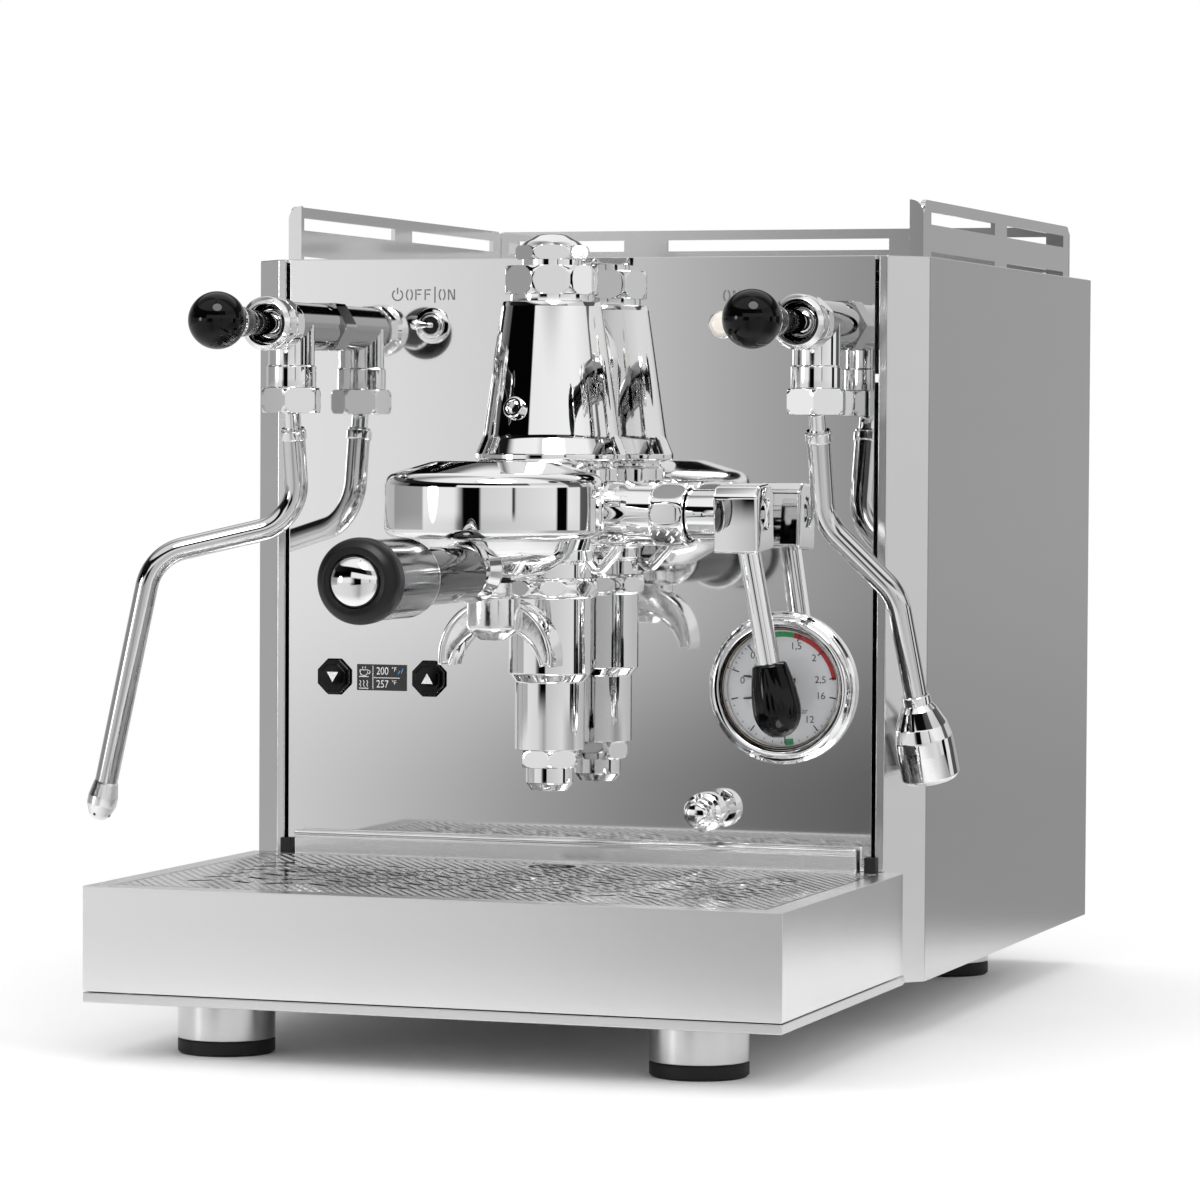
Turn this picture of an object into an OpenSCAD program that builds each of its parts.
// Dual-boiler espresso machine with a lever brew group, two joystick valves with swivelling wands,
// a twin-scale pressure gauge and a pull-out drip tray.
// Working frame: x = 0 on the case's middle plane, y = 0 on the front panel's face, -y towards the
// user, z = 0 on the table. in_frame() moves it to the middle of the outline for the finished part.

/* [Case] */
// Width of the case
case_w = 300; // [285:1:320]
// Depth of the case behind the front panel's face
case_d = 312; // [295:1:330]
// Height of the case above its underside
case_h = 301.3; // [290:0.1:320]
// Thickness of the case's sheet steel
sheet_t = 1.5; // [1:0.1:2]
// Width of the 45 degree corner face, measured along the front
corner_w = 14.3; // [11:0.1:18]
// Width of each post's lip beside the front panel
post_lip = 3.7; // [2:0.1:5]
// Slit between the front panel and a post's lip
panel_gap = 1.7; // [0.8:0.1:2.5]
// Depth of the back plate's vent slots' field below the top
vent_drop = 45; // [35:1:60]
// Number of vent slots in the back plate
vent_count = 9; // [5:1:11]
// Height of one vent slot
vent_h = 4; // [3:0.5:5]
// Length of one vent slot
vent_len = 90; // [60:5:110]

/* [Cup rail] */
// Height of the rail above the top plate
rail_h = 24.4; // [20:0.1:32]
// Thickness of the rail's sheet
rail_t = 2; // [1.5:0.1:2.5]
// Distance of each side rail in from the case's side
rail_in = 7; // [5:0.5:12]
// Distance of the rail's front end behind the front panel
rail_front = 31; // [25:1:45]
// Distance of the back rail in front of the case's back
rail_back = 17; // [12:1:30]
// Height of a rail slot
rail_slot_h = 5.4; // [5:0.1:6.5]
// Distance of the slots below the rail's top edge
rail_slot_drop = 4.6; // [4:0.1:7]
// Width of the posts between the slots
rail_post = 22; // [16:1:26]
// Middle slot of the rear rail, length
rear_slot_len = 111; // [100:1:120]
// Width of the turned-in flange at each front end
rail_flange = 6; // [5:0.5:9]
// Gap between the rail's lower edge and the top plate, between its toes
rail_toe_h = 3; // [2.5:0.1:4]

/* [Feet] */
// Height of a foot, pad included
foot_h = 22.3; // [19:0.1:28]
// Radius of a foot
foot_r = 19.6; // [17:0.1:22]
// Height of the rubber pad
pad_h = 6; // [4:0.5:8]
// Distance of the feet's axes in from the case's side
foot_side = 50.2; // [40:0.1:60]
// Distance of the front feet's axes behind the tray's front face
foot_front = 39.8; // [30:0.1:50]
// Distance of the rear feet's axes in front of the case's back
foot_back = 69.4; // [45:0.1:80]

/* [Drip tray] */
// Width of the tray
tray_w = 290; // [276:1:310]
// Reach of the tray's front face ahead of the front panel
tray_reach = 177.4; // [165:0.1:190]
// Height of the tray's rim above the case's underside
tray_h = 46.4; // [42:0.1:52]
// Height of the base plate's hem under the tray
hem_h = 4; // [3:0.1:5]
// Running gap under and behind the tray
tray_gap = 0.4; // [0.3:0.1:0.6]
// Gap between the tray's back edge and the front panel
tray_back = 3; // [2.8:0.1:5]
// Width of the flat rim round the grate
rim_w = 9.5; // [8:0.5:12]
// Thickness of the tray's walls and floor
tray_t = 2; // [1.5:0.1:2.5]
// Height of the basin's floor above the hem
basin_lift = 3; // [2:0.5:6]
// Width of the ledge that carries the grate
ledge_w = 5; // [4:0.5:7]
// Width of the splash strip at the back of the tray
strip_w = 250; // [230:1:256]
// Height of the splash strip above the rim
strip_h = 9.8; // [7:0.1:11]
// Width of the flat rim behind the grate
rim_back = 8; // [6:0.5:10]
// Radius of the bead along the splash strip's top edge
strip_bead = 1.6; // [1.2:0.1:2]
// Height of the rubber stop blocks beside the panel
stop_h = 8; // [6:0.5:10]
// Width of the rubber stop blocks
stop_w = 5; // [4:0.1:5.4]

/* [Grate] */
// Thickness of the grate
grate_t = 1.5; // [1:0.1:2]
// Gap round the grate
grate_gap = 0.6; // [0.4:0.1:1]
// Length of one drain slot
drain_len = 12; // [9:0.5:14]
// Width of one drain slot
drain_w = 3.2; // [2.5:0.1:4]
// Columns of drain slots
drain_cols = 14; // [8:2:16]
// Rows of drain slots
drain_rows = 6; // [4:1:7]
// Pitch of the drain columns
drain_dx = 17; // [15.5:0.5:18]
// Pitch of the drain rows
drain_dy = 17; // [15:0.5:18]
// Slant of the drain slots
drain_slant = 32; // [20:1:40]
// Distance of the slot field's middle ahead of the front panel
drain_y = 96; // [90:1:105]
// Radius of the grate's finger hole
finger_r = 10; // [9:0.5:12]
// Distance of the finger hole ahead of the front panel
finger_y = 27; // [25:0.5:30]

/* [Brew group] */
// Height of the lever axis above the tray's rim
lever_lift = 147.8; // [142:0.1:152]
// Distance of the group's upright axis ahead of the front panel
tower_y = 31; // [30.5:0.1:34]
// Distance of the bell's axis ahead of the upright axis
bell_y = 69; // [66:0.5:74]
// Outer radius of the bell
bell_r = 44.2; // [42:0.1:47]
// Height of the bell's wall
bell_h = 24.9; // [22:0.1:28]
// Depth of the bell's rim below the lever axis
bell_drop = 9.2; // [7:0.1:11]
// Radius of the bell's mouth
mouth_r = 36.5; // [35.8:0.1:38]
// Radius of the bell's edges
bell_round = 5; // [3:0.5:6]
// Radius at the foot of the tower
tower_foot_r = 29.5; // [27:0.1:30]
// Lever tower, how far its foot flares out
foot_flare = 2.2; // [1:0.1:3]
// Radius at the head of the tower
tower_head_r = 20.3; // [18.5:0.1:22]
// Height of the tower's foot above the lever axis
tower_foot = 23.5; // [21:0.1:26]
// Height of the tower's head above the lever axis
tower_head = 87.5; // [80:0.1:95]
// Corner radius of the octagonal collar nut
collar_nut_r = 20.8; // [19:0.1:23]
// Height of the octagonal collar nut
collar_nut_h = 12; // [10:0.5:14]
// Width across the flats of the cap
cap_af = 27; // [25:0.1:30]
// Height of the cap's flats
cap_flat_h = 5.9; // [5:0.1:8]
// Height of the cap's dome
cap_dome_h = 5.4; // [4:0.1:7]
// Half width of the pointed neck between tower and panel
neck_half_w = 16; // [14:0.5:18]
// Half height of the pointed neck
neck_half_h = 51; // [44:0.5:54]
// Radius of the chamber below the tower
chamber_r = 17.2; // [16:0.1:18]
// Depth of the chamber's lower step below the lever axis
chamber_drop = 66.7; // [62:0.1:72]
// Radius of the chamber's lower part
chamber_low_r = 14.5; // [13:0.1:15.5]
// Depth of the chamber's end below the lever axis
chamber_end = 98.5; // [94:0.1:103]
// Width across the flats of the drain nut
drain_nut_af = 22.6; // [20:0.1:24]
// Height of the drain nut
drain_nut_h = 7.5; // [6:0.5:9]
// Length of the drain nozzle
nozzle_h = 9.4; // [8:0.1:12]
// Radius of the drain nozzle
nozzle_r = 9.8; // [9:0.1:10.5]
// Bore radius of the drain nozzle
nozzle_bore = 4.5; // [4:0.1:5.5]
// Radius of the plug screw in the tower's face
plug_r = 4.6; // [4:0.1:5.5]
// Height of the plug screw above the lever axis
plug_lift = 41.7; // [38:0.1:46]
// Plug screw, turn to the left about the tower
plug_turn = 13; // [0:1:30]
// Plug screw, tilt upwards
plug_tilt = 18; // [0:1:25]

/* [Cam and lever] */
// Distance of the gland nut's outer face from the upright axis
gland_x = 61; // [58:0.5:64]
// Width across the flats of the gland nut
gland_af = 26; // [24:0.1:28]
// Width of the gland nut
gland_w = 14; // [12:0.5:15]
// Radius of the cam housing
cam_house_r = 13.6; // [13:0.1:15]
// Radius of the cam shaft outside the gland
shaft_r = 10.2; // [9:0.1:11]
// Radius of the cam shaft's journal in the gland
journal_r = 6; // [5:0.1:7]
// Running clearance round the journal
running = 0.05; // [0.02:0.01:0.09]
// Radius of the cam
cam_r = 4.6; // [4:0.1:5]
// Throw of the cam off the shaft's axis
cam_throw = 2.2; // [1.5:0.1:2.5]
// Width of the lever block
block_w = 19; // [17:0.5:22]
// Height of the lever block
block_h = 28; // [26:0.5:31]
// Depth of the lever block
block_d = 24; // [22:0.5:27]
// Length of bare shaft between gland and block
shaft_show = 13; // [10:0.5:16]
// Radius of the lever's rod
rod_r = 4.7; // [4:0.05:5.2]
// Length of the lever from its axis to the knob's foot
rod_len = 62; // [55:0.5:75]
// Outward lean of the rod
rod_lean = 9.6; // [6:0.1:11]
// Backward lean of the rod
rod_back = 4; // [0:0.5:6]
// Length of the lever's knob
knob_len = 31; // [26:0.5:36]
// Largest radius of the lever's knob
knob_r = 10; // [8.5:0.1:10.5]

/* [Portafilter] */
// Outer radius of the bowl
bowl_r = 33.6; // [33:0.1:34.4]
// Depth of the bowl below the bell's rim
bowl_h = 15; // [13:0.5:20]
// Radius of the basket
basket_r = 29.2; // [28.5:0.1:30]
// Wall of the basket
basket_t = 0.8; // [0.6:0.1:1]
// Thickness of the bayonet lugs
lug_t = 5; // [4:0.1:5.5]
// Width of the bayonet lugs
lug_w = 22; // [18:0.5:26]
// Reach of the handle's end beyond the bowl's axis
handle_reach = 152; // [146:1:180]
// Radius of the handle's slim part
handle_slim_r = 11.2; // [10:0.1:12]
// Radius of the handle's grip
handle_grip_r = 15.3; // [13:0.1:15.8]
// Length of the handle's grip
handle_grip_len = 40; // [34:1:60]
// Radius of the soft end ring
end_ring_r = 16.4; // [15.5:0.1:18]
// Width of the soft end ring
end_ring_w = 12; // [10:0.5:14]
// Radius of the polished end cap
end_cap_r = 10; // [8.5:0.1:11]
// Height of the end cap's dome
end_cap_h = 4; // [3:0.1:6]
// Depth of the handle's axis below the lever axis
handle_drop = 22.7; // [21:0.1:24]
// Radius of the spout's hub
hub_r = 10.7; // [9.5:0.1:12]
// Height of the spout's hub
hub_h = 19; // [16:0.5:22]
// Thickness of the spout's washer
washer_t = 2; // [1.5:0.1:2.5]
// Reach of each spout's tip from the middle
spout_reach = 21.4; // [19:0.1:24]
// Width of the spout's channel
spout_w = 15; // [12:0.5:18]
// Wall of the spout's channel
spout_t = 2.2; // [1.8:0.1:2.6]
// Shift of the spout's arch towards the machine
spout_back = 12; // [10:0.5:13]

/* [Valves and wands] */
// Distance of the steam valve left of the middle plane
steam_x = 113; // [104:0.5:116]
// Distance of the water valve right of the middle plane
water_x = 117; // [114:0.5:118.5]
// Depth of the valve axes below the case's top
valve_drop = 29.1; // [26:0.1:34]
// Width across the flats of the valve's panel nut
valve_af = 21; // [19:0.1:22]
// Width of the valve's panel nut
valve_nut_w = 13; // [11:0.5:15]
// Radius of the valve's barrel
barrel_r = 9.6; // [9:0.1:10.2]
// Length of the valve's barrel from the panel
barrel_len = 58; // [55:0.5:62]
// Outer radius of the flared collar
flare_r = 11.3; // [10.5:0.1:12.5]
// Width of the flared collar
flare_w = 12; // [10:0.5:14]
// Bore radius of the flared collar
flare_bore = 7.6; // [7.4:0.1:8.2]
// Distance of the outlets ahead of the front panel
outlet_y = 40; // [38:0.5:42]
// Radius of the outlet's upper collar
outlet_r = 9; // [8.5:0.1:9.4]
// Radius of the outlet's lower collar
outlet_low_r = 10.3; // [9.8:0.1:10.8]
// Width across the flats of the outlet nut
outlet_af = 22.8; // [22:0.1:24]
// Height of the outlet nut
outlet_nut_h = 10.6; // [9:0.1:12]
// Distance of the joystick's ball ahead of its pivot
stick_len = 58.7; // [54:0.1:64]
// Radius of the joystick's rod
stick_r = 4; // [3.5:0.1:4.4]
// Radius of the joystick's ball
ball_r = 11.8; // [10.5:0.1:13]
// Sideways lean of the water valve's joystick
stick_lean = 3.5; // [0:0.5:5]
// Radius of the wands' tubes
wand_r = 4.8; // [4.4:0.1:5.2]
// Radius of the wands' ball ends
wand_ball_r = 6.6; // [6.2:0.1:7]
// Radius of the wands' stems inside the nuts
stem_r = 3.5; // [3:0.1:3.8]
// Length of the wands' stems below the ball's middle
stem_len = 13; // [11.5:0.5:14]
// Bending radius of the wands
wand_bend = 20; // [16:0.5:22]
// Steam wand: length of the upper limb to its corner
steam_limb_a = 52.2; // [46:0.1:58]
// Steam wand: slope of the middle limb
steam_slope = 81.5; // [70:0.5:82]
// Steam wand: length of the middle limb
steam_limb_b = 63.3; // [56:0.1:70]
// Steam wand: slope of the lower limb
steam_end_slope = 15.5; // [8:0.5:20]
// Steam wand: length of the lower limb to its tip
steam_limb_c = 99; // [85:0.5:110]
// Steam wand: length of the tip
steam_tip_len = 16.5; // [14:0.5:20]
// Steam wand: largest radius of the tip
steam_tip_r = 6.3; // [5.8:0.1:7]
// Water wand: length of the upper limb to its corner
water_limb_a = 50.7; // [46:0.1:56]
// Water wand: slope of the middle limb
water_slope = 45; // [36:0.5:50]
// Water wand: length of the middle limb
water_limb_b = 42.2; // [38:0.1:48]
// Water wand: slope of the lower limb
water_end_slope = 7.4; // [4:0.1:12]
// Water wand: length of the lower limb to its tip
water_limb_c = 43; // [38:0.5:48]
// Water wand: length of the tip
water_tip_len = 36; // [32:0.5:40]
// Water wand: largest radius of the tip
water_tip_r = 12.2; // [11:0.1:13]
// Backward lean of the steam wand
steam_lean = 10; // [6:0.5:12]
// Turn of the steam wand from the right-hand side
steam_turn = 209.2; // [195:0.5:225]
// Backward lean of the water wand
water_lean = 14.4; // [8:0.5:15]
// Turn of the water wand from the right-hand side
water_turn = -5; // [-20:0.5:0]

/* [Gauge and controls] */
// Distance of the gauge right of the middle plane
gauge_x = 92.3; // [88:0.1:96]
// Height of the gauge's middle above the tray's rim
gauge_lift = 75.5; // [70:0.5:78]
// Outer radius of the gauge's bezel
gauge_r = 31.85; // [29:0.05:33]
// Height of the gauge's bezel
gauge_h = 7.5; // [6.5:0.1:9]
// Width of the gauge's bezel
gauge_rim = 6.4; // [5:0.1:7.5]
// Thickness of the gauge's glass
glass_t = 1.2; // [1:0.1:1.6]
// Distance between the two needles' pivots
needle_gap = 7; // [6.8:0.1:9]
// Length of the needles
needle_len = 17; // [14:0.5:18]
// Width across the flats of the push buttons
button_af = 14.4; // [13:0.1:16]
// Height of the push buttons above the panel
button_h = 3; // [2.5:0.1:4]
// Distance of the outer button left of the middle plane
button_out_x = 108.8; // [107:0.1:111]
// Distance of the inner button left of the middle plane
button_in_x = 65.4; // [62:0.1:66.5]
// Height of the buttons above the tray's rim
button_lift = 75.9; // [70:0.1:80]
// Width of the display
display_w = 22.6; // [20:0.1:23.5]
// Height of the display
display_h = 11.2; // [10:0.1:14]
// Distance of the switch and the lamp from the middle plane
switch_x = 64.5; // [60:0.5:68]
// Radius of the switch's ring
switch_r = 7.7; // [7:0.1:8.4]
// Length of the switch's lever
toggle_len = 13; // [11:0.5:15]
// Lean of the switch's lever to the left
toggle_lean = 24; // [18:1:26]
// Radius of the lamp
lamp_r = 5.9; // [4:0.1:5.5]
// Distance of the selector knob right of the middle plane
selector_x = 62; // [54:0.1:64]
// Height of the selector knob above the tray's rim
selector_lift = 23.7; // [22.5:0.1:27]
// Length of the selector knob
selector_len = 25; // [15:0.5:28]
// Radius of the selector knob
selector_r = 6.2; // [5.5:0.1:7]

/* [Inside the case] */
// Radius of the steam boiler
steam_boiler_r = 42; // [36:1:44]
// Length of the steam boiler
steam_boiler_len = 190; // [170:1:200]
// Radius of the brew boiler
brew_boiler_r = 35; // [32:1:38]
// Height of the brew boiler
brew_boiler_h = 130; // [115:1:150]
// Width of the water tank
tank_w = 200; // [180:1:220]
// Depth of the water tank, front to back
tank_d = 68; // [56:1:72]
// Height of the water tank
tank_h = 250; // [230:1:264]
// Wall of the water tank
tank_t = 3; // [2:0.5:4]
// Length of the opening over the water tank
lid_d = 80; // [78:1:90]

/* [Hidden] */
$fn = 64;

half_w = case_w / 2;
case_top = foot_h + case_h;
floor_z = foot_h + sheet_t;
deck_z = foot_h + tray_h;
miter = sheet_t * tan(22.5);
panel_half_w = half_w - corner_w - post_lip - panel_gap;
post_in_x = half_w - corner_w - post_lip;
side_in_x = half_w - sheet_t;
back_in_y = case_d - sheet_t;
top_low_z = case_top - sheet_t;
lever_z = deck_z + lever_lift;
bell_axis_y = -tower_y - bell_y;
seat = 0.1;
fit_gap = 0.3;

// The outline's reach on each side of the working frame's origin
steam_tip_x = steam_x - cos(steam_turn) * (steam_limb_b * sin(steam_slope)
              + (steam_limb_c + steam_tip_len) * sin(steam_end_slope)) + steam_tip_r;
water_tip_x = water_x + cos(water_turn) * (water_limb_b * sin(water_slope)
              + (water_limb_c + water_tip_len) * sin(water_end_slope)) + water_tip_r;
frame_x = (steam_tip_x - water_tip_x) / 2;
frame_y = (handle_reach - bell_axis_y + end_cap_h - case_d) / 2;

module in_frame() translate([frame_x, frame_y, 0]) children();

// Turns a shape built upwards so that it is built away from the front panel
module towards_user() rotate([90, 0, 0]) children();

// Turns a shape built upwards so that it is built to the right
module to_the_right() rotate([0, 90, 0]) children();

// A prism with n corners and a given width across its flats
module prism(n, af, h) {
    rotate([0, 0, 180 / n]) cylinder(h = h, r = af / 2 / cos(180 / n), $fn = n);
}

// A nut with n flats whose corners are turned down at both ends
module nut(n, af, h, turned) {
    corner = af / 2 / cos(180 / n);
    over = corner + 0.2;
    step = (turned + 0.2) * 0.6;
    intersection() {
        prism(n, af, h);
        rotate_extrude($fn = 64)
            polygon([[0, 0], [corner - turned, 0], [over, step], [over, h - step],
                     [corner - turned, h], [0, h]]);
    }
}

// A flat slot with round ends, its length along x
module slot(len, wid, h) {
    linear_extrude(height = h) {
        square([len - wid, wid], center = true);
        for (s = [-1, 1]) translate([s * (len - wid) / 2, 0]) circle(d = wid, $fn = 24);
    }
}

// ---------------------------------------------------------------- case

// Outline of a side panel with its 45 degree corner and the lip beside the front panel
module side_outline() {
    polygon([[half_w, case_d], [half_w, corner_w], [half_w - corner_w, 0], [post_in_x, 0],
             [post_in_x, sheet_t], [half_w - corner_w - miter, sheet_t],
             [side_in_x, corner_w + miter], [side_in_x, case_d]]);
}

module side_panel() {
    translate([0, 0, foot_h]) linear_extrude(height = case_h) side_outline();
}

module side_panel_right() color("silver") in_frame() side_panel();

module side_panel_left() color("silver") in_frame() mirror([1, 0, 0]) side_panel();

// Floor plan of a sheet that fills the case from the front panel's back to the given depth
module inside_outline(back_y) polygon([
    [side_in_x, back_y], [side_in_x, corner_w + miter], [half_w - corner_w - miter, sheet_t],
    [corner_w + miter - half_w, sheet_t], [-side_in_x, corner_w + miter], [-side_in_x, back_y]]);

module base_plate() color("silver") in_frame() {
    translate([0, 0, foot_h]) linear_extrude(height = sheet_t) inside_outline(back_in_y);
    difference() {
        translate([-tray_w / 2, -tray_reach, foot_h]) cube([tray_w, tray_reach, hem_h]);
        translate([-tray_w / 2 + sheet_t, -tray_reach + sheet_t, floor_z])
            cube([tray_w - 2 * sheet_t, tray_reach, hem_h]);
    }
    translate([-post_in_x, -sheet_t, foot_h]) cube([2 * post_in_x, 3 * sheet_t, sheet_t]);
}

module front_panel() color("gainsboro") in_frame() difference() {
    translate([-panel_half_w, 0, floor_z]) cube([2 * panel_half_w, sheet_t, case_top - floor_z]);
    translate([gauge_x, -1, gauge_z]) rotate([-90, 0, 0])
        cylinder(h = 2 * sheet_t + 2, r = can_r + seat);
    for (x = [-button_out_x, -button_in_x]) translate([x, 2 * sheet_t, button_z]) towards_user()
        prism(8, button_af + 2 * fit_gap, 3 * sheet_t);
}

module back_panel() color("silver") in_frame() difference() {
    translate([-side_in_x, back_in_y, foot_h]) cube([2 * side_in_x, sheet_t, top_low_z - foot_h]);
    for (i = [0 : vent_count - 1], s = [-1, 1])
        translate([s * side_in_x / 2, case_d + 1, top_low_z - vent_drop - i * 2.2 * vent_h])
            towards_user() slot(vent_len, vent_h, sheet_t + 2);
    translate([-inlet_x - inlet_w / 2, back_in_y - 1, inlet_z - inlet_h / 2])
        cube([inlet_w, sheet_t + 2, inlet_h]);
}

inlet_x = 95;
inlet_w = 28;
inlet_h = 24;
inlet_flange = 5;
inlet_depth = 22;
inlet_z = floor_z + 32;

// Flanged three-pin mains inlet
module power_inlet() color([0.08, 0.08, 0.08]) in_frame() translate([-inlet_x, case_d, inlet_z]) {
    difference() {
        union() {
            translate([-inlet_w / 2 - inlet_flange, 0, -inlet_h / 2])
                cube([inlet_w + 2 * inlet_flange, 2.5, inlet_h]);
            translate([-inlet_w / 2 + seat, -inlet_depth, -inlet_h / 2 + seat])
                cube([inlet_w - 2 * seat, inlet_depth, inlet_h - 2 * seat]);
        }
        translate([-inlet_w / 2 + 3, -inlet_depth + 3, -inlet_h / 2 + 3])
            cube([inlet_w - 6, inlet_depth, inlet_h - 6]);
    }
    for (p = [[-7, -2], [0, 3], [7, -2]])
        translate([p[0] - 1, -inlet_depth + 3, p[1] - 2]) cube([2, 14, 4]);
}

lid_lap = 3;
lid_back_y = case_d - rail_back - rail_t - lid_lap - 1;
lid_front_y = lid_back_y - lid_d;
tank_front_y = lid_back_y - 6 - tank_d;

module top_plate() color("silver") in_frame() difference() {
    translate([0, 0, top_low_z]) linear_extrude(height = sheet_t) inside_outline(case_d);
    translate([-lid_half_w, lid_front_y, top_low_z - 1])
        cube([2 * lid_half_w, lid_d, sheet_t + 2]);
}

lid_half_w = tank_w / 2 + 8;

// Lift-off lid: a tray plate that laps over its opening, with a locating skirt below
module tank_lid() color("silver") in_frame() {
    translate([-lid_half_w - lid_lap, lid_front_y - lid_lap, case_top])
        cube([2 * (lid_half_w + lid_lap), lid_d + 2 * lid_lap, sheet_t]);
    difference() {
        translate([-lid_half_w + fit_gap, lid_front_y + fit_gap, case_top - 4])
            cube([2 * (lid_half_w - fit_gap), lid_d - 2 * fit_gap, 4]);
        translate([-lid_half_w + fit_gap + sheet_t, lid_front_y + fit_gap + sheet_t, case_top - 5])
            cube([2 * (lid_half_w - fit_gap - sheet_t), lid_d - 2 * (fit_gap + sheet_t), 5]);
    }
}

rail_x = half_w - rail_in;
rail_rear_y = case_d - rail_back;
rail_len = rail_rear_y - rail_front;
rail_round = 4;
side_slots = [[rail_post / 2, (rail_len - rail_post) / 2], [(rail_len + rail_post) / 2, rail_len - rail_post / 2]];
rear_slots = [[rail_post / 2, rail_x - rear_slot_len / 2 - rail_post],
              [rail_x - rear_slot_len / 2, rail_x + rear_slot_len / 2],
              [rail_x + rear_slot_len / 2 + rail_post, 2 * rail_x - rail_post / 2]];

// Flat rail sheet, its length along x and its height along y, with round upper corners;
// its slots run from one place along x to another
module rail_sheet(len, slots) {
    difference() {
        union() {
            square([len, rail_h - rail_round]);
            translate([rail_round, 0]) square([len - 2 * rail_round, rail_h]);
            for (x = [rail_round, len - rail_round])
                translate([x, rail_h - rail_round]) circle(r = rail_round, $fn = 32);
        }
        for (s = slots) {
            translate([s[0], rail_h - rail_slot_drop - rail_slot_h]) square([s[1] - s[0], rail_slot_h]);
            translate([s[0], -1]) square([s[1] - s[0], rail_toe_h + 1]);
        }
    }
}

module side_rail() {
    translate([rail_x - rail_t, rail_front, case_top]) rotate([90, 0, 90])
        linear_extrude(height = rail_t) rail_sheet(rail_len, side_slots);
    translate([rail_x - rail_flange, rail_front - rail_t, case_top]) rotate([90, 0, 0])
        mirror([0, 0, 1]) linear_extrude(height = rail_t) {
            square([rail_flange, rail_h - rail_flange]);
            intersection() {
                translate([0, rail_h - rail_flange]) circle(r = rail_flange, $fn = 32);
                translate([0, rail_h - rail_flange]) square(rail_flange);
            }
        }
}

module cup_rail() color("silver") in_frame() {
    side_rail();
    mirror([1, 0, 0]) side_rail();
    translate([-rail_x, rail_rear_y + rail_t + fit_gap, case_top]) rotate([90, 0, 0])
        linear_extrude(height = rail_t) rail_sheet(2 * rail_x, rear_slots);
}

foot_x = half_w - foot_side;
foot_front_y = -tray_reach + foot_front;
foot_rear_y = case_d - foot_back;

module at_feet() for (x = [-foot_x, foot_x], y = [foot_front_y, foot_rear_y])
    translate([x, y, 0]) children();

module feet() color("silver") in_frame() at_feet()
    translate([0, 0, pad_h]) cylinder(h = foot_h - pad_h, r = foot_r);

module foot_pads() color([0.08, 0.08, 0.08]) in_frame() at_feet()
    rotate_extrude() polygon([[0, 0], [foot_r - 1, 0], [foot_r, 1], [foot_r, pad_h - 0.6],
                              [foot_r - 0.6, pad_h], [0, pad_h]]);

// ---------------------------------------------------------------- drip tray

tray_low_z = foot_h + hem_h + tray_gap;
basin_z = tray_low_z + basin_lift;
tray_half_w = tray_w / 2;
well_half_w = tray_half_w - rim_w;
well_front_y = -tray_reach + rim_w;
well_back_y = -tray_back - rim_back;

module tray_stops() color([0.08, 0.08, 0.08]) in_frame() for (s = [-1, 1])
    translate([s * (post_in_x - stop_w / 2 + 1) - stop_w / 2, -tray_back + 0.5, deck_z - 2])
        cube([stop_w, tray_back - 0.5, stop_h]);

module drip_tray() color("silver") in_frame() {
    difference() {
        translate([-tray_half_w, -tray_reach, tray_low_z])
            cube([2 * tray_half_w, tray_reach - tray_back, deck_z - tray_low_z]);
        // the basin, narrower than the well by the grate's ledge
        translate([-well_half_w + ledge_w, well_front_y + ledge_w, basin_z + tray_t])
            cube([2 * (well_half_w - ledge_w), well_back_y - well_front_y - 2 * ledge_w, tray_h]);
        // the well that takes the grate
        translate([-well_half_w, well_front_y, deck_z - grate_t])
            cube([2 * well_half_w, well_back_y - well_front_y, grate_t + 1]);
        // the hollow under the rim, open downwards, with walls left round it
        difference() {
            translate([-tray_half_w + tray_t, -tray_reach + tray_t, tray_low_z - 1])
                cube([2 * (tray_half_w - tray_t), tray_reach - tray_back - 2 * tray_t,
                      deck_z - tray_t - grate_t - tray_low_z + 1]);
            translate([-well_half_w + ledge_w - tray_t, well_front_y + ledge_w - tray_t, basin_z])
                cube([2 * (well_half_w - ledge_w + tray_t),
                      well_back_y - well_front_y - 2 * (ledge_w - tray_t), tray_h]);
        }
    }
    // splash strip with a rolled upper edge
    translate([-strip_w / 2, -tray_back - tray_t, deck_z]) cube([strip_w, tray_t, strip_h - strip_bead]);
    translate([-strip_w / 2, -tray_back - strip_bead, deck_z + strip_h - strip_bead]) to_the_right()
        cylinder(h = strip_w, r = strip_bead);
}

module drip_grate() color("silver") in_frame() difference() {
    translate([-well_half_w + grate_gap, well_front_y + grate_gap, deck_z - grate_t])
        cube([2 * (well_half_w - grate_gap), well_back_y - well_front_y - 2 * grate_gap, grate_t]);
    for (i = [0 : drain_cols - 1], j = [0 : drain_rows - 1])
        translate([(i - (drain_cols - 1) / 2) * drain_dx,
                   -drain_y + (j - (drain_rows - 1) / 2) * drain_dy, deck_z - grate_t - 1])
            rotate([0, 0, i % 2 == 0 ? drain_slant : -drain_slant])
                slot(drain_len, drain_w, grate_t + 2);
    translate([0, -finger_y, deck_z - grate_t - 1]) cylinder(h = grate_t + 2, r = finger_r);
}

// ---------------------------------------------------------------- brew group

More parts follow.
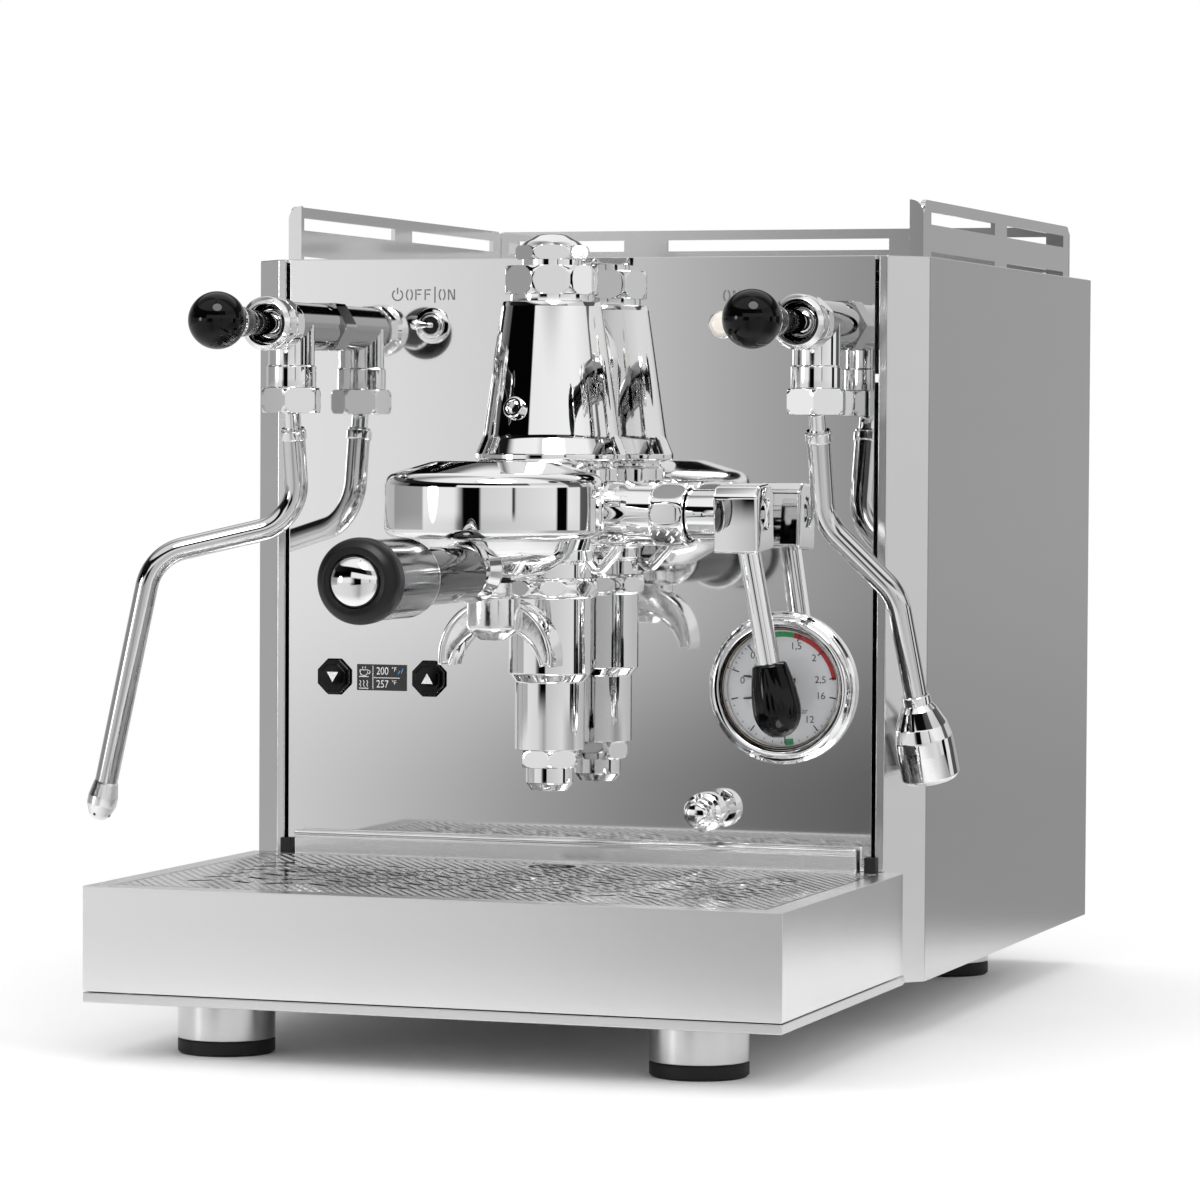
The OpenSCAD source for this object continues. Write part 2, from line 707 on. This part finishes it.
bell_low_z = lever_z - bell_drop;
bell_top_z = bell_low_z + bell_h;
tower_foot_z = lever_z + tower_foot;
tower_head_z = lever_z + tower_head;
mouth_h = 17;
ledge_h = 4;
neck_arch_h = 30;
neck_arch_r = (neck_arch_h * neck_arch_h + neck_half_w * neck_half_w) / (2 * neck_half_w);
house_x = gland_x - gland_w;
cam_x = 12;
cam_room_r = cam_r + cam_throw + 0.8;
chamber_top_z = lever_z - cam_house_r - 2;
neck_z = chamber_top_z + neck_half_h + 0.2;
shoulder_w = bell_r;

// Outline of the neck: upright sides, and two arcs that meet in a point at either end
module neck_outline() {
    straight = neck_half_h - neck_arch_h;
    for (s = [-1, 1]) intersection() {
        translate([neck_half_w - neck_arch_r, s * straight]) circle(r = neck_arch_r, $fn = 128);
        translate([neck_arch_r - neck_half_w, s * straight]) circle(r = neck_arch_r, $fn = 128);
    }
    square([2 * neck_half_w, 2 * straight], center = true);
}

// Bell turned about its own axis: rounded wall, sloping crown
module bell_solid() {
    crown_r = bell_r * 0.55;
    rotate_extrude() {
        polygon([[0, 0], [bell_r - bell_round, 0], [bell_r - bell_round, bell_h],
                 [crown_r, bell_h + 6], [0, bell_h + 6]]);
        translate([0, bell_round]) square([bell_r, bell_h - 2 * bell_round]);
        for (z = [bell_round, bell_h - bell_round])
            translate([bell_r - bell_round, z]) circle(r = bell_round, $fn = 32);
    }
}

// Tower: foot ring, groove and a straight taper to the head
module tower_solid() rotate_extrude() polygon([
    [0, chamber_top_z], [chamber_r + 3, chamber_top_z], [chamber_r + 6, lever_z - 8],
    [tower_foot_r - 1.5, bell_top_z - 4], [tower_foot_r - 1.5, tower_foot_z - 5],
    [tower_foot_r - 3, tower_foot_z - 4.2], [tower_foot_r - 3, tower_foot_z - 2.8],
    [tower_foot_r + foot_flare, tower_foot_z - 1.4], [tower_foot_r + foot_flare, tower_foot_z + 0.8],
    [tower_foot_r - 0.8, tower_foot_z + 8],
    [tower_head_r + 0.6, tower_head_z - 2], [tower_head_r, tower_head_z],
    [tower_head_r - 3, tower_head_z], [tower_head_r - 3, tower_head_z + 2.8], [0, tower_head_z + 2.8]]);

plug_sink = 3.5;
plug_show = 3.4;
plug_wall_r = tower_foot_r - (tower_foot_r - tower_head_r) * (plug_lift - tower_foot) / (tower_head - tower_foot);

module at_plug() translate([0, -tower_y, lever_z + plug_lift]) rotate([0, 0, -plug_turn])
    translate([0, plug_sink - plug_wall_r, 0]) rotate([90 - plug_tilt, 0, 0]) children();

module group_body() color("silver") in_frame() difference() {
    union() {
        translate([0, bell_axis_y, bell_low_z]) bell_solid();
        translate([0, -tower_y, 0]) tower_solid();
        // shoulder from the bell's crown back to the tower's foot
        translate([-shoulder_w / 2, 0, 0]) rotate([90, 0, 90]) linear_extrude(height = shoulder_w)
            polygon([[bell_axis_y, bell_top_z - 9], [-tower_y, bell_top_z - 9],
                     [-tower_y, bell_top_z + 9.5], [bell_axis_y, bell_top_z + 4.5]]);
        translate([0, 0, neck_z]) towards_user() linear_extrude(height = tower_y) neck_outline();
        translate([0, 0, neck_z]) towards_user()
            linear_extrude(height = 5) scale(1.12) neck_outline();
        translate([cam_x, -tower_y, lever_z]) to_the_right()
            prism(8, 2 * cam_house_r, house_x - cam_x);
    }
    // the bell's mouth, with a ledge left for the portafilter's lugs
    translate([0, bell_axis_y, bell_low_z - 1]) cylinder(h = mouth_h + 1, r = mouth_r - 2.2);
    translate([0, bell_axis_y, bell_low_z + ledge_h]) cylinder(h = mouth_h - ledge_h, r = mouth_r + 1.8);
    // the gaps in the ledge where the lugs go in, well off the locked place
    translate([0, bell_axis_y, bell_low_z - 1]) rotate([0, 0, -45])
        translate([-mouth_r - 1.8, -lug_w / 2 - 1, 0]) intersection() {
            cube([2 * mouth_r + 3.6, lug_w + 2, ledge_h + 2]);
            translate([mouth_r + 1.8, lug_w / 2 + 1, 0]) cylinder(h = ledge_h + 2, r = mouth_r + 1.8);
        }
    // cam chamber and the journal's bore through the housing
    translate([-cam_room_r, -tower_y, lever_z]) to_the_right()
        cylinder(h = cam_x + cam_room_r + 2, r = cam_room_r);
    translate([0, -tower_y, lever_z]) to_the_right()
        cylinder(h = house_x + 1, r = journal_r + running);
    // the flared foot stops at the panel
    translate([-tower_foot_r, 0, tower_foot_z - 8]) cube([2 * tower_foot_r, tower_y, 20]);
    // seat of the plug screw
    at_plug() cylinder(h = tower_foot_r, r = plug_r + seat);
}

module group_plug() color("gray") in_frame()
    at_plug() difference() {
        cylinder(h = plug_sink + plug_show, r = plug_r);
        translate([0, 0, plug_sink]) cylinder(h = plug_show + 1, r = plug_r * 0.5, $fn = 6);
    }

collar_nut_z = tower_head_z + 2.8;
cap_z = collar_nut_z + collar_nut_h;
nut_turn = 18;

module group_collar_nut() color("silver") in_frame() translate([0, -tower_y, collar_nut_z]) {
    rotate([0, 0, nut_turn]) nut(8, 2 * collar_nut_r * cos(22.5), collar_nut_h, 1.4);
}

// Cap: neck, hexagon and a low dome
module group_cap() color("silver") in_frame() translate([0, -tower_y, cap_z]) {
    neck_h = 2.5;
    flat_r = cap_af / 2;
    dome_r = (flat_r * flat_r + cap_dome_h * cap_dome_h) / (2 * cap_dome_h);
    cylinder(h = neck_h, r = flat_r - 1);
    translate([0, 0, neck_h]) rotate([0, 0, nut_turn - 30]) nut(6, cap_af, cap_flat_h, 1.6);
    translate([0, 0, neck_h + cap_flat_h - 0.5]) intersection() {
        cylinder(h = cap_dome_h + 0.5, r = flat_r - 0.3);
        translate([0, 0, cap_dome_h + 0.5 - dome_r]) sphere(r = dome_r);
    }
}

screen_r = 28.6;
gasket_z = bell_low_z + mouth_h;

module group_gasket() color([0.08, 0.08, 0.08]) in_frame()
    translate([0, bell_axis_y, gasket_z - 7.6]) difference() {
        cylinder(h = 7.6, r = mouth_r);
        translate([0, 0, -1]) cylinder(h = 10, r = screen_r + seat);
    }

module shower_screen() color("silver") in_frame()
    translate([0, bell_axis_y, gasket_z - 6]) difference() {
        cylinder(h = 6, r = screen_r);
        for (a = [0 : 45 : 315]) rotate([0, 0, a]) translate([screen_r * 0.6, 0, -1])
            cylinder(h = 2.5, r = 1.2, $fn = 16);
    }

chamber_step_z = lever_z - chamber_drop;
chamber_end_z = lever_z - chamber_end;

// Lower chamber: octagonal collar, long barrel, stepped lower part
module exhaust_chamber() color("silver") in_frame() translate([0, -tower_y, 0]) {
    translate([0, 0, chamber_top_z - 20]) nut(8, 2 * (chamber_r + 3) * cos(22.5), 9, 1);
    difference() {
        rotate_extrude() polygon([
            [0, chamber_end_z], [chamber_low_r, chamber_end_z], [chamber_low_r, chamber_step_z - 3.4],
            [chamber_r, chamber_step_z], [chamber_r, chamber_top_z - 5],
            [chamber_r + 2.4, chamber_top_z - 4], [chamber_r + 2.4, chamber_top_z], [0, chamber_top_z]]);
        translate([0, 0, chamber_end_z - 1]) cylinder(h = 12, r = nozzle_bore);
    }
}

module exhaust_nozzle() color("silver") in_frame() translate([0, -tower_y, chamber_end_z]) difference() {
    union() {
        translate([0, 0, -drain_nut_h]) nut(6, drain_nut_af, drain_nut_h, 1.2);
        translate([0, 0, -drain_nut_h - nozzle_h]) rotate_extrude()
            polygon([[0, 0], [nozzle_r - 2.3, 0], [nozzle_r, 3.1], [nozzle_r, nozzle_h], [0, nozzle_h]]);
    }
    translate([0, 0, -drain_nut_h - nozzle_h - 1]) cylinder(h = 30, r = nozzle_bore);
}

// ---------------------------------------------------------------- cam and lever

module cam_gland_nut() color("silver") in_frame() translate([house_x, -tower_y, lever_z]) to_the_right()
    difference() {
        nut(8, gland_af, gland_w, 1.6);
        translate([0, 0, -1]) cylinder(h = gland_w + 2, r = journal_r + running);
    }

block_x = gland_x + fit_gap + shaft_show;

// Cam, journal, bare shaft and block turn together
module lever_hub() color("silver") in_frame() translate([0, -tower_y, lever_z]) {
    to_the_right() translate([0, cam_throw, cam_x - 8]) cylinder(h = 8, r = cam_r);
    to_the_right() translate([0, 0, cam_x - 9]) cylinder(h = 1, r = cam_r);
    to_the_right() translate([0, 0, cam_x]) cylinder(h = block_x - cam_x, r = journal_r);
    to_the_right() translate([0, 0, gland_x + fit_gap]) cylinder(h = shaft_show, r = shaft_r);
    difference() {
        translate([block_x, 0, 0]) to_the_right() intersection() {
            translate([-block_h / 2 + 1.3, -block_d / 2, 0]) cube([block_h, block_d, block_w]);
            translate([1.3, 0, 0]) rotate_extrude() polygon([[0, 0], [block_h * 0.62, 0],
                [block_h * 0.62, block_w - 5], [block_h * 0.62 - 4, block_w], [0, block_w]]);
        }
        translate([block_x + block_w - 2.5, 0, 0]) to_the_right() cylinder(h = 3, r = 7);
        rod_place() translate([0, 0, -1]) cylinder(h = rod_len, r = rod_r + seat);
    }
    translate([block_x + block_w - 2.5, 0, 0]) to_the_right() difference() {
        cylinder(h = 2, r = 6.4);
        translate([-7, -0.8, 0.8]) cube([14, 1.6, 2]);
    }
}

// Rod's own line: down from the block, leaning out and back
module rod_place() translate([block_x + block_w * 0.48, 0, 0])
    rotate([rod_back, -rod_lean, 0]) mirror([0, 0, 1]) translate([0, 0, 8]) children();

module at_lever() translate([0, -tower_y, lever_z]) children();

module lever_rod() color("silver") in_frame() at_lever() rod_place() cylinder(h = rod_len, r = rod_r);

// Teardrop knob
module lever_knob() color([0.05, 0.05, 0.05]) in_frame() at_lever() rod_place()
    translate([0, 0, rod_len - 8]) difference() {
        rotate_extrude() polygon([for (i = [0 : 20]) [knob_profile(i / 20), i / 20 * knob_len],
                                  [0, knob_len]]);
        translate([0, 0, -1]) cylinder(h = 9, r = rod_r + seat);
    }

// Radius of the knob along its length: slim foot, full belly, round end
function knob_profile(u) = u < 0.62
    ? knob_r * (0.7 + 0.3 * sin(90 * u / 0.62))
    : knob_r * sqrt(max(0, 1 - pow((u - 0.62) / 0.385, 2)));

// ---------------------------------------------------------------- portafilter

module at_bowl() translate([0, bell_axis_y, 0]) children();

bowl_top_z = gasket_z - 7.6 - fit_gap;
lug_z = bell_low_z + ledge_h + fit_gap;
bowl_low_z = bell_low_z - bowl_h;
washer_z = bowl_low_z - 10;
handle_z = lever_z - handle_drop;

module portafilter_body() color("silver") in_frame() at_bowl() {
    difference() {
        union() {
            rotate_extrude() polygon([
                [0, bowl_low_z - 8], [hub_r - 2, bowl_low_z - 8], [hub_r + 2, bowl_low_z - 4],
                [bowl_r - 8, bowl_low_z + 1], [bowl_r - 2, bowl_low_z + 6], [bowl_r, bowl_low_z + 12],
                [bowl_r, bowl_top_z], [0, bowl_top_z]]);
            // lugs
            intersection() {
                translate([-mouth_r - 1, -lug_w / 2, lug_z]) cube([2 * mouth_r + 2, lug_w, lug_t]);
                translate([0, 0, lug_z]) cylinder(h = lug_t, r = mouth_r + 1);
            }
            // neck that takes the handle
            translate([0, -bowl_r + 5, handle_z]) towards_user() cylinder(h = 17, r = handle_slim_r);
        }
        translate([0, 0, bowl_top_z - 13]) cylinder(h = 30, r = basket_r + 0.6);
        translate([0, 0, bowl_low_z - 9]) cylinder(h = 30, r = 4);
    }
    // nipple that carries the spout
    difference() {
        translate([0, 0, washer_z - 6]) cylinder(h = bowl_low_z - 8 - washer_z + 6, r = 7);
        translate([0, 0, washer_z - 7]) cylinder(h = 12, r = 4);
    }
}

handle_start_y = -bowl_r - 12;
grip_end_y = -handle_reach + end_ring_w;
grip_start_y = grip_end_y - 0 + handle_grip_len;

module portafilter_handle() color([0.55, 0.55, 0.56]) in_frame() at_bowl()
    translate([0, 0, handle_z]) towards_user() rotate_extrude() polygon([
        [0, -handle_start_y], [handle_slim_r, -handle_start_y], [handle_slim_r, -grip_start_y],
        [handle_grip_r - 1, -grip_start_y], [handle_grip_r, -grip_start_y + 1],
        [handle_grip_r, -grip_end_y], [0, -grip_end_y]]);

module handle_end_ring() color([0.06, 0.06, 0.06]) in_frame() at_bowl()
    translate([0, grip_end_y, handle_z]) towards_user() difference() {
        rotate_extrude() {
            polygon([[0, 0], [end_ring_r - 3, 0], [end_ring_r - 3, end_ring_w], [0, end_ring_w]]);
            translate([end_ring_r - end_ring_w / 2, end_ring_w / 2]) circle(r = end_ring_w / 2, $fn = 32);
        }
        translate([0, 0, end_ring_w - 3]) cylinder(h = 4, r = end_cap_r + seat);
    }

module handle_end_cap() color("silver") in_frame() at_bowl()
    translate([0, -handle_reach + 3, handle_z]) towards_user() {
        dome_r = (end_cap_r * end_cap_r + end_cap_h * end_cap_h) / (2 * end_cap_h);
        cylinder(h = 3, r = end_cap_r);
        translate([0, 0, 2.5]) intersection() {
            cylinder(h = end_cap_h + 0.5, r = end_cap_r - 0.2);
            translate([0, 0, end_cap_h + 0.5 - dome_r]) sphere(r = dome_r);
        }
    }

module filter_basket() color("silver") in_frame() at_bowl() translate([0, 0, bowl_top_z - 12.5])
    difference() {
        cylinder(h = 12.5, r = basket_r);
        translate([0, 0, basket_t]) cylinder(h = 13, r = basket_r - basket_t);
    }

module spout_seal() color([0.06, 0.06, 0.06]) in_frame() at_bowl() translate([0, 0, washer_z])
    difference() {
        cylinder(h = washer_t, r = hub_r - 2);
        translate([0, 0, -1]) cylinder(h = washer_t + 2, r = 7 + seat);
    }

// Hub, and an arched open channel whose two ends are the spouts
module twin_spout() color("silver") in_frame() at_bowl() translate([0, 0, washer_z]) {
    arch_r = spout_reach + 3;
    difference() {
        union() {
            rotate_extrude() polygon([[0, -hub_h], [hub_r - 3, -hub_h], [hub_r, -hub_h + 3], [hub_r, 0],
                                      [0, 0]]);
            translate([0, spout_back + spout_w / 2 - 4, -hub_h - 9]) towards_user() linear_extrude(height = spout_w)
                intersection() {
                    difference() {
                        circle(r = arch_r);
                        translate([0, -7]) circle(r = arch_r - 5);
                    }
                    translate([-arch_r, -3]) square([2 * arch_r, arch_r + 4]);
                }
        }
        translate([0, 0, -hub_h + 4]) cylinder(h = hub_h, r = 7 + seat);
    }
}

// ---------------------------------------------------------------- valves and wands

valve_z = case_top - valve_drop;
pivot_y = -barrel_len - 2;
outlet_top_z = valve_z - barrel_r;
outlet_step_z = valve_z - 17.3;
outlet_low_z = valve_z - 26.4;
wand_ball_z = outlet_low_z - 5.1;
lap = 0.1;

// Barrel from the panel to the flared collar, with the outlet below it
module valve_body() difference() {
    union() {
        towards_user() nut(6, valve_af, valve_nut_w, 1.2);
        towards_user() cylinder(h = barrel_len - 6, r = barrel_r);
        translate([0, -barrel_len + 8, 0]) towards_user() nut(8, 2 * flare_r - 2, 8, 0.8);
        translate([0, -barrel_len, 0]) towards_user() rotate_extrude()
            polygon([[0, 0], [flare_r - 2, 0], [flare_r, 3], [flare_r, flare_w - 2],
                     [flare_r - 2, flare_w], [0, flare_w]]);
        translate([0, -outlet_y, outlet_step_z - valve_z])
            cylinder(h = valve_z - outlet_step_z, r = outlet_r);
        translate([0, -outlet_y, outlet_low_z - valve_z])
            cylinder(h = outlet_step_z - outlet_low_z, r = outlet_low_r);
    }
    // socket of the joystick
    translate([0, -barrel_len + 6, 0]) towards_user() cylinder(h = flare_w + 8, r = flare_bore);
    // seat of the wand's ball
    translate([0, -outlet_y, outlet_low_z - valve_z - 1]) cylinder(h = 6, r = wand_ball_r + fit_gap);
    translate([0, -outlet_y, outlet_low_z - valve_z]) cylinder(h = 20, r = 3);
}

module steam_valve() color("silver") in_frame() translate([-steam_x, 0, valve_z]) valve_body();

module water_valve() color("silver") in_frame() translate([water_x, 0, valve_z]) valve_body();

module outlet_nuts() color("silver") in_frame() for (x = [-steam_x, water_x])
    translate([x, -outlet_y, outlet_low_z - outlet_nut_h]) difference() {
        nut(6, outlet_af, outlet_nut_h, 1);
        translate([0, 0, 3]) cylinder(h = outlet_nut_h, r = wand_ball_r + fit_gap);
        translate([0, 0, -1]) rotate_extrude()
            polygon([[0, 0], [stem_r + 4.4, 0], [wand_ball_r - 0.6, 5], [0, 5]]);
    }

// Joystick: ball in its socket, rod and the ferrule under the hand ball
module stick() difference() {
    union() {
        sphere(r = flare_bore - 0.5);
        towards_user() cylinder(h = stick_len - ball_r + 3, r = stick_r);
        translate([0, -stick_len + ball_r + 9, 0]) towards_user() rotate_extrude()
            polygon([[0, 0], [stick_r + 0.4, 0], [stick_r + 1.6, 2.5], [stick_r + 1.6, 9.4], [0, 9.4]]);
    }
    translate([0, -stick_len, 0]) sphere(r = ball_r + 0.02);
}

module hand_ball() translate([0, -stick_len, 0]) sphere(r = ball_r);

module at_steam_stick() translate([-steam_x, pivot_y, valve_z]) children();

module at_water_stick() translate([water_x, pivot_y, valve_z]) rotate([0, 0, -stick_lean]) children();

module steam_stick() color("silver") in_frame() at_steam_stick() stick();

module water_stick() color("silver") in_frame() at_water_stick() stick();

module steam_ball() color([0.04, 0.04, 0.04]) in_frame() at_steam_stick() hand_ball();

module water_ball() color([0.04, 0.04, 0.04]) in_frame() at_water_stick() hand_ball();

// Tube bent twice in one plane: it starts down along -z and bends towards +x
module wand_tube(a, slope_b, b, slope_c, c, r) {
    cut_1 = wand_bend * tan(slope_b / 2);
    turn_2 = slope_b - slope_c;
    cut_2 = wand_bend * tan(turn_2 / 2);
    translate([0, 0, -a + cut_1 - lap]) cylinder(h = a - cut_1 - stem_len + lap, r = r);
    translate([0, 0, -a + cut_1]) bend(slope_b, r - 0.02);
    translate([0, 0, -a]) rotate([0, -slope_b, 0]) {
        translate([0, 0, -b + cut_2 - lap]) cylinder(h = b - cut_1 - cut_2 + 2 * lap, r = r);
        translate([0, 0, -b + cut_2]) rotate([0, 0, 180]) bend(turn_2, r - 0.02);
        translate([0, 0, -b]) rotate([0, turn_2, 0]) translate([0, 0, -c])
            cylinder(h = c - cut_2 + lap, r = r);
    }
}

// Quarter-ring piece that turns a tube from -z towards +x
module bend(angle, r) translate([wand_bend, 0, 0]) rotate([90, 0, 0]) rotate([0, 0, 180])
    rotate_extrude(angle = angle) translate([wand_bend, 0]) circle(r = r, $fn = 32);

module wand_end(a, slope_b, b, slope_c, c) translate([0, 0, -a]) rotate([0, -slope_b, 0])
    translate([0, 0, -b]) rotate([0, slope_b - slope_c, 0]) translate([0, 0, -c]) children();

// Ball end and the stem through the nut
module wand_head() {
    sphere(r = wand_ball_r);
    translate([0, 0, -stem_len]) cylinder(h = stem_len, r = stem_r);
    translate([0, 0, -stem_len - 4]) cylinder(h = 4, r = wand_r + 0.3);
}

module at_steam_wand() translate([-steam_x, -outlet_y, wand_ball_z])
    rotate([steam_lean, 0, 0]) rotate([0, 0, steam_turn]) children();

module at_water_wand() translate([water_x, -outlet_y, wand_ball_z])
    rotate([water_lean, 0, 0]) rotate([0, 0, water_turn]) children();

module steam_wand() color("silver") in_frame() at_steam_wand() {
    wand_head();
    wand_tube(steam_limb_a, steam_slope, steam_limb_b, steam_end_slope, steam_limb_c, wand_r);
}

module water_wand() color("silver") in_frame() at_water_wand() {
    wand_head();
    wand_tube(water_limb_a, water_slope, water_limb_b, water_end_slope, water_limb_c, wand_r);
}

module steam_tip() color("silver") in_frame() at_steam_wand()
    wand_end(steam_limb_a, steam_slope, steam_limb_b, steam_end_slope, steam_limb_c) mirror([0, 0, 1])
        rotate_extrude() polygon([[0, 0], [wand_r, 0], [steam_tip_r, steam_tip_len * 0.4],
            [steam_tip_r, steam_tip_len * 0.62], [steam_tip_r * 0.72, steam_tip_len * 0.92],
            [steam_tip_r * 0.4, steam_tip_len], [0, steam_tip_len]]);

module water_tip() color("silver") in_frame() at_water_wand()
    wand_end(water_limb_a, water_slope, water_limb_b, water_end_slope, water_limb_c) mirror([0, 0, 1])
        difference() {
            rotate_extrude() polygon([[0, 0], [wand_r + 1.2, 0], [wand_r + 1.2, 4],
                [wand_r + 3, 6], [water_tip_r - 1.6, 12], [water_tip_r - 0.4, 16], [water_tip_r, 20],
                [water_tip_r, water_tip_len - 3], [water_tip_r - 3, water_tip_len], [0, water_tip_len]]);
            translate([0, 0, water_tip_len - 2]) cylinder(h = 3, r = water_tip_r - 4);
        }

// ---------------------------------------------------------------- gauge and controls

gauge_z = deck_z + gauge_lift;
button_z = deck_z + button_lift;
can_r = gauge_r - gauge_rim;
dial_y = 0.6;
hand_y = 1.6;
hand_t = 0.6;
pin_r = 0.8;

module at_gauge() translate([gauge_x, 0, gauge_z]) towards_user() children();

// Can behind the panel and stepped bezel in front of it
module gauge_case() color("silver") in_frame() at_gauge() {
    rotate_extrude() polygon([[can_r - 1.2, 0], [gauge_r, 0], [gauge_r, 2.2], [gauge_r - 1.4, 3.6],
        [gauge_r - 1.4, gauge_h - 2], [gauge_r - 3.2, gauge_h], [can_r - 1.2, gauge_h]]);
    translate([0, 0, -24]) difference() {
        cylinder(h = 24, r = can_r);
        translate([0, 0, 1.5]) cylinder(h = 30, r = can_r - 1.2);
    }
}

module gauge_dial() color("white") in_frame() at_gauge() {
    translate([0, 0, dial_y - 1.6]) cylinder(h = 1.6, r = can_r - 1.2 - seat);
    for (s = [-1, 1]) translate([0, s * needle_gap / 2, dial_y]) cylinder(h = 2, r = pin_r);
}

module gauge_glass() color([0.9, 0.95, 1, 0.4]) in_frame() at_gauge()
    translate([0, 0, gauge_h - 1.2 - glass_t]) cylinder(h = glass_t, r = can_r - 1.2 - seat);

// Tapered hand with a round hub, pointing along +x
module needle() difference() {
    linear_extrude(height = hand_t) {
        circle(r = 3);
        polygon([[0, -1.1], [needle_len, -0.3], [needle_len, 0.3], [0, 1.1]]);
    }
    translate([0, 0, -1]) cylinder(h = 3, r = pin_r + running);
}

boiler_hand_angle = 176;
pump_hand_angle = 184;

module needle_boiler() color([0.1, 0.1, 0.1]) in_frame() at_gauge()
    translate([0, needle_gap / 2, hand_y]) rotate([0, 0, boiler_hand_angle]) needle();

module needle_pump() color([0.1, 0.1, 0.1]) in_frame() at_gauge()
    translate([0, -needle_gap / 2, hand_y]) rotate([0, 0, pump_hand_angle]) needle();

display_x = (button_out_x + button_in_x) / 2;

module display() color([0.05, 0.05, 0.06]) in_frame()
    translate([-display_x - display_w / 2, -0.8, button_z - display_h / 2])
        cube([display_w, 0.8, display_h]);

button_back = 4;

// Octagonal cap with a collar behind the panel
module button() towards_user() {
    translate([0, 0, -button_back]) intersection() {
        prism(8, button_af, button_h + button_back);
        rotate_extrude() polygon([[0, 0], [button_af, 0], [button_af, button_h + button_back - 1.5],
            [button_af / 2 - 0.8, button_h + button_back], [0, button_h + button_back]]);
    }
}

module button_down() color([0.05, 0.05, 0.05]) in_frame()
    translate([-button_out_x, 0, button_z]) button();

module button_up() color([0.05, 0.05, 0.05]) in_frame()
    translate([-button_in_x, 0, button_z]) button();

switch_z = valve_z + 0.6;
toggle_pivot = 2.8;

module switch_ring() color("silver") in_frame() translate([-switch_x, 0, switch_z]) towards_user()
    rotate_extrude() polygon([[3.4, 0], [switch_r, 0], [switch_r, 1.2], [switch_r - 1.9, 2.2],
                              [switch_r - 2.2, 3.4], [4.4, 3.4], [3.4, 2.6]]);

// Bat-shaped lever that rocks in the ring
module switch_lever() color("silver") in_frame() translate([-switch_x, 0, switch_z])
    translate([0, -toggle_pivot, 0]) rotate([0, 0, -toggle_lean]) towards_user() {
        sphere(r = 2.6);
        cylinder(h = toggle_len - 4, r1 = 1.5, r2 = 2.1);
        translate([0, 0, toggle_len - 4]) sphere(r = 2.6);
    }

module lamp_lens() color([0.95, 0.9, 0.8]) in_frame() translate([switch_x, 0, switch_z]) towards_user()
    rotate_extrude() polygon([[0, 0], [lamp_r, 0], [lamp_r, 1], [lamp_r - 0.8, 1.6],
                              [lamp_r * 0.6, 3], [0, 3.4]]);

selector_z = deck_z + selector_lift;

module selector_collar() color("silver") in_frame() translate([selector_x, 0, selector_z])
    towards_user() difference() {
        nut(6, 2 * selector_r - 1, 4, 0.6);
        translate([0, 0, -1]) cylinder(h = 6, r = 3 + running);
    }

module selector_knob() color("silver") in_frame() translate([selector_x, 0, selector_z])
    towards_user() {
        translate([0, 0, 0.3]) cylinder(h = 6, r = 3);
        translate([0, 0, 4.3]) rotate_extrude() polygon([[0, 0], [selector_r - 0.5, 0],
            [selector_r + 2, selector_len * 0.1], [selector_r + 2, selector_len * 0.45],
            [selector_r, selector_len * 0.55], [selector_r, selector_len - 3],
            [selector_r - 1.2, selector_len - 2], [selector_r * 0.4, selector_len],
            [0, selector_len]]);
    }

// ---------------------------------------------------------------- inside the case

steam_boiler_y = tank_front_y - 5 - steam_boiler_r;
brew_boiler_y = 62;
boiler_wall = 2;
boiler_lift = 70;

module boiler_shell(r, len) difference() {
    cylinder(h = len, r = r);
    translate([0, 0, boiler_wall]) cylinder(h = len - 2 * boiler_wall, r = r - boiler_wall);
}

// Lying steam boiler on two saddles, upright brew boiler on a stand
module boilers() color("silver") in_frame() {
    steam_z = floor_z + boiler_lift + steam_boiler_r;
    translate([-steam_boiler_len / 2, steam_boiler_y, steam_z]) to_the_right()
        boiler_shell(steam_boiler_r, steam_boiler_len);
    for (s = [-1, 1]) difference() {
        translate([s * steam_boiler_len * 0.3 - 6, steam_boiler_y - 25, floor_z])
            cube([12, 50, boiler_lift + 20]);
        translate([-steam_boiler_len / 2, steam_boiler_y, steam_z]) to_the_right()
            cylinder(h = steam_boiler_len, r = steam_boiler_r - 0.01);
    }
    translate([0, brew_boiler_y, floor_z + boiler_lift]) boiler_shell(brew_boiler_r, brew_boiler_h);
    translate([-20, brew_boiler_y - 20, floor_z]) cube([40, 40, boiler_lift]);
}

module water_tank() color([0.8, 0.85, 0.9]) in_frame()
    translate([-tank_w / 2, tank_front_y, floor_z]) difference() {
        cube([tank_w, tank_d, tank_h]);
        translate([tank_t, tank_t, tank_t])
            cube([tank_w - 2 * tank_t, tank_d - 2 * tank_t, tank_h]);
    }

base_plate();
side_panel_left();
side_panel_right();
front_panel();
back_panel();
top_plate();
tank_lid();
cup_rail();
feet();
foot_pads();
tray_stops();
drip_tray();
drip_grate();
group_body();
group_cap();
group_collar_nut();
group_plug();
group_gasket();
shower_screen();
exhaust_chamber();
exhaust_nozzle();
cam_gland_nut();
lever_hub();
lever_rod();
lever_knob();
portafilter_body();
portafilter_handle();
handle_end_ring();
handle_end_cap();
filter_basket();
spout_seal();
twin_spout();
steam_valve();
water_valve();
outlet_nuts();
steam_stick();
steam_ball();
water_stick();
water_ball();
steam_wand();
steam_tip();
water_wand();
water_tip();
gauge_case();
gauge_dial();
gauge_glass();
needle_boiler();
needle_pump();
display();
button_down();
button_up();
switch_ring();
switch_lever();
lamp_lens();
selector_collar();
selector_knob();
boilers();
water_tank();
power_inlet();
